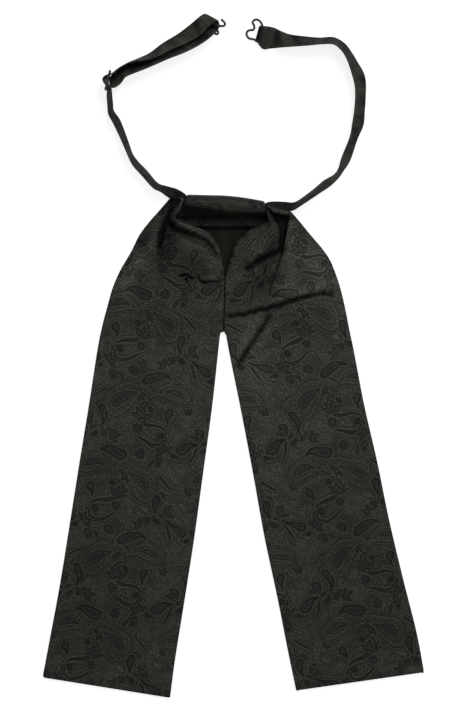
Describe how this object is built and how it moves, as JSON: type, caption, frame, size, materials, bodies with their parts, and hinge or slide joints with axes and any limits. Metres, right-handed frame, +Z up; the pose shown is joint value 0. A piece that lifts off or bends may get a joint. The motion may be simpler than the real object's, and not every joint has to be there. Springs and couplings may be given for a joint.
{
  "type": "puff tie",
  "caption": "Wide-tailed puff tie laid flat: two pleated tails on a rolled neck fold, with a narrow neckband closed by a slider, a wire hook and an eye.",
  "frame": {"origin": "on the surface the tie lies on, under the middle of the neck roll", "axes": "+Z up from the surface, +Y from the tails to the neck opening, +X to the side of the eye"},
  "size_m": [0.2852, 0.5122, 0.0199],
  "materials": {
    "jacquard": "black satin jacquard with a tone-on-tone paisley",
    "lining": "plain black satin",
    "band": "black satin folded to a narrow band",
    "black_wire": "black enamelled wire"
  },
  "bodies": {
    "root": {"left_tail": "jacquard", "right_tail": "jacquard", "neck_roll": "jacquard", "centre_panel": "lining", "right_band": "band", "left_band": "band", "slider": "black_wire", "hook": "black_wire", "eye": "black_wire"}
  },
  "joints": []
}
